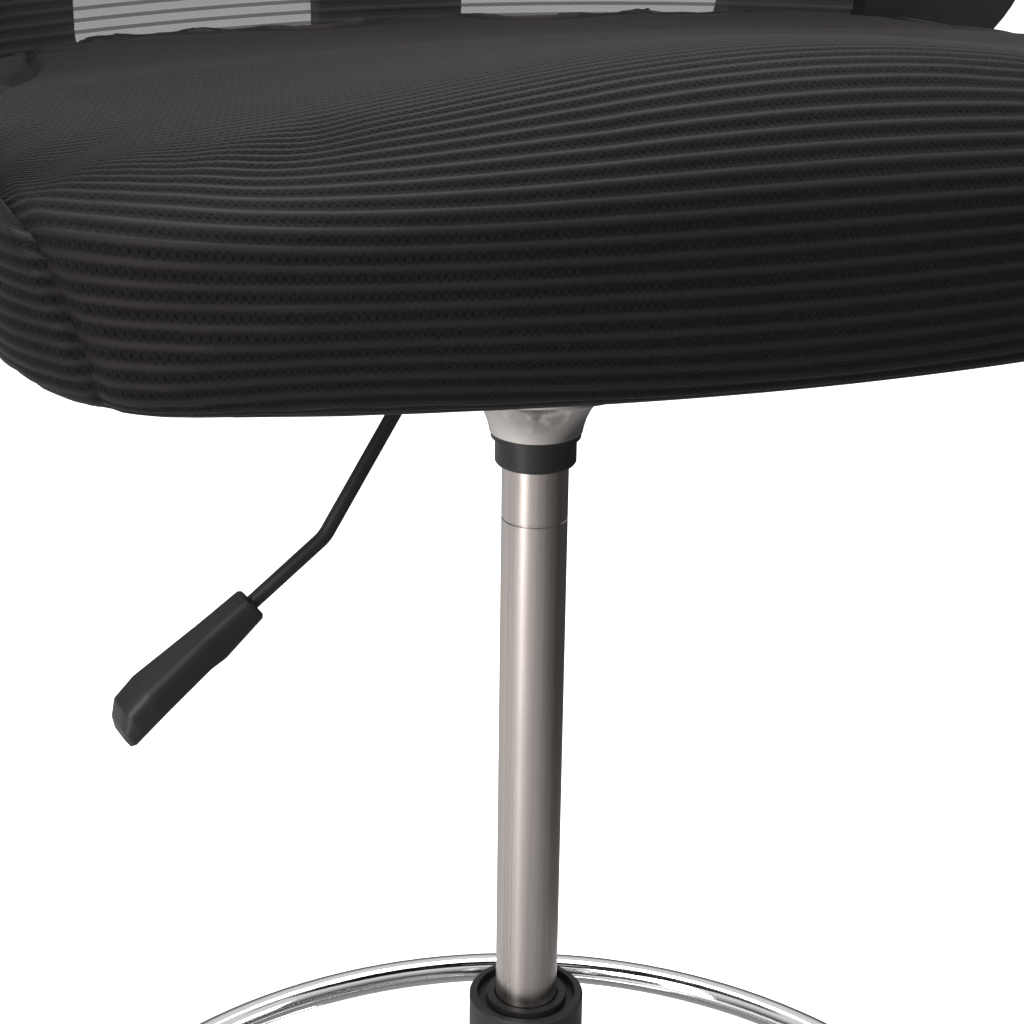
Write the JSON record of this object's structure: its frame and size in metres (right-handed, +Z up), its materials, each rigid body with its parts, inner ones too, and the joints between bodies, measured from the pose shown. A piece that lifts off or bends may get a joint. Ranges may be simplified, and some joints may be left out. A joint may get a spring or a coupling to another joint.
{
  "type": "drafting chair",
  "caption": "Armless drafting chair with a ribbed mesh seat, curved see-through back, gas column, foot ring and star base on casters",
  "frame": {"origin": "on the floor, on the axis of the gas column", "axes": "+Z up along the column, -Y the way the sitter faces, -X towards the sitter's right hand and the height lever"},
  "size_m": [0.6347, 0.6133, 1.29],
  "materials": {
    "chrome": "polished chrome plate",
    "satin_column": "satin plated tube with fine drawn lines along it",
    "satin_nickel": "satin nickel plate",
    "bearing_steel": "turned and zinc plated steel",
    "black_paint": "black powder coat",
    "black_plastic": "moulded black nylon with a fine grain",
    "bush_plastic": "natural acetal",
    "caster_tread": "black nylon wheel",
    "seat_mesh_fabric": "charcoal ribbed spacer mesh",
    "back_mesh_fabric": "see-through ribbed mesh",
    "lining_cloth": "thin black lining cloth",
    "plywood": "raw plywood"
  },
  "bodies": {
    "base": {"star_base": "chrome", "outer_tube": "chrome", "tube_cap": "black_plastic", "guide_bush": "bush_plastic", "lower_bearing_race": "bearing_steel", "bearing_balls": "bearing_steel", "swivel_washer": "bearing_steel"},
    "gas_rod": {"gas_rod": "bearing_steel", "piston_head": "bearing_steel", "piston_seal": "bush_plastic", "upper_bearing_race": "bearing_steel", "retaining_clip": "bearing_steel"},
    "seat": {"pressure_tube": "satin_column", "rod_guide": "bearing_steel", "valve_body": "bearing_steel", "column_collar": "black_plastic", "bell_cover": "satin_nickel", "taper_socket": "bearing_steel", "mechanism_housing": "black_paint", "pivot_bracket": "black_paint", "pivot_pin": "bearing_steel", "seat_plate": "black_paint", "seat_bolts": "bearing_steel", "tee_nuts": "bearing_steel", "seat_board": "plywood", "dust_cover": "lining_cloth", "seat_cushion": "seat_mesh_fabric", "back_bar": "black_paint", "bar_bolts": "bearing_steel", "back_bracket": "black_plastic", "back_screws": "bearing_steel", "back_spine": "black_plastic", "back_frame": "black_plastic", "back_mesh": "back_mesh_fabric"},
    "valve_button": {"valve_button": "bearing_steel"},
    "lever": {"lever_rod": "black_paint", "lever_block": "black_paint", "lever_paddle": "black_plastic"},
    "foot_ring": {"foot_ring": "chrome", "foot_ring_spokes": "chrome", "foot_ring_sleeve": "black_plastic", "clamp_pad": "bush_plastic"},
    "clamp_knob": {"clamp_knob": "black_plastic", "clamp_screw": "bearing_steel"},
    "caster_1_fork": {"caster_1_hood": "black_plastic", "caster_1_pins": "bearing_steel"},
    "caster_1_wheels": {"caster_1_wheels": "caster_tread"},
    "caster_2_fork": {"caster_2_hood": "black_plastic", "caster_2_pins": "bearing_steel"},
    "caster_2_wheels": {"caster_2_wheels": "caster_tread"},
    "caster_3_fork": {"caster_3_hood": "black_plastic", "caster_3_pins": "bearing_steel"},
    "caster_3_wheels": {"caster_3_wheels": "caster_tread"},
    "caster_4_fork": {"caster_4_hood": "black_plastic", "caster_4_pins": "bearing_steel"},
    "caster_4_wheels": {"caster_4_wheels": "caster_tread"},
    "caster_5_fork": {"caster_5_hood": "black_plastic", "caster_5_pins": "bearing_steel"},
    "caster_5_wheels": {"caster_5_wheels": "caster_tread"}
  },
  "joints": [
    {"name": "seat_swivel", "type": "hinge", "parent": "base", "child": "gas_rod", "pos_m": [0, 0, 0.0745], "axis": [0, 0, 1], "continuous": true},
    {"name": "seat_height", "type": "slide", "parent": "gas_rod", "child": "seat", "axis": [0, 0, 1], "range_m": [-0.235, 0.008]},
    {"name": "lever_lift", "type": "hinge", "parent": "seat", "child": "lever", "pos_m": [-0.028, 0, 0.716], "axis": [0, 1, 0], "range_deg": [0, 5.5], "stiffness_Nm_per_rad": 3, "springref_deg": -5.73},
    {"name": "valve_press", "type": "slide", "parent": "seat", "child": "valve_button", "axis": [0, 0, -1], "range_m": [0, 0.0029]},
    {"name": "ring_height", "type": "slide", "parent": "base", "child": "foot_ring", "axis": [0, 0, 1], "range_m": [-0.06, 0.06]},
    {"name": "knob_turn", "type": "hinge", "parent": "foot_ring", "child": "clamp_knob", "pos_m": [-0.01539, -0.04229, 0.228], "axis": [-0.342, -0.9397, 0], "range_deg": [0, 360]},
    {"name": "caster_1_swivel", "type": "hinge", "parent": "base", "child": "caster_1_fork", "pos_m": [0, 0.3, 0.055], "axis": [0, 0, 1], "continuous": true},
    {"name": "caster_1_roll", "type": "hinge", "parent": "caster_1_fork", "child": "caster_1_wheels", "pos_m": [-0.00616, 0.28309, 0.025], "axis": [0.9397, -0.342, 0], "continuous": true},
    {"name": "caster_2_swivel", "type": "hinge", "parent": "base", "child": "caster_2_fork", "pos_m": [-0.28532, 0.0927, 0.055], "axis": [0, 0, 1], "continuous": true},
    {"name": "caster_2_roll", "type": "hinge", "parent": "caster_2_fork", "child": "caster_2_wheels", "pos_m": [-0.29147, 0.07579, 0.025], "axis": [0.9397, -0.342, 0], "continuous": true},
    {"name": "caster_3_swivel", "type": "hinge", "parent": "base", "child": "caster_3_fork", "pos_m": [-0.17634, -0.24271, 0.055], "axis": [0, 0, 1], "continuous": true},
    {"name": "caster_3_roll", "type": "hinge", "parent": "caster_3_fork", "child": "caster_3_wheels", "pos_m": [-0.18249, -0.25962, 0.025], "axis": [0.9397, -0.342, 0], "continuous": true},
    {"name": "caster_4_swivel", "type": "hinge", "parent": "base", "child": "caster_4_fork", "pos_m": [0.17634, -0.24271, 0.055], "axis": [0, 0, 1], "continuous": true},
    {"name": "caster_4_roll", "type": "hinge", "parent": "caster_4_fork", "child": "caster_4_wheels", "pos_m": [0.17018, -0.25962, 0.025], "axis": [0.9397, -0.342, 0], "continuous": true},
    {"name": "caster_5_swivel", "type": "hinge", "parent": "base", "child": "caster_5_fork", "pos_m": [0.28532, 0.0927, 0.055], "axis": [0, 0, 1], "continuous": true},
    {"name": "caster_5_roll", "type": "hinge", "parent": "caster_5_fork", "child": "caster_5_wheels", "pos_m": [0.27916, 0.07579, 0.025], "axis": [0.9397, -0.342, 0], "continuous": true}
  ],
  "couplings": [
    {"joint": "valve_press", "follows": "lever_lift", "m_per_rad": 0.028}
  ]
}
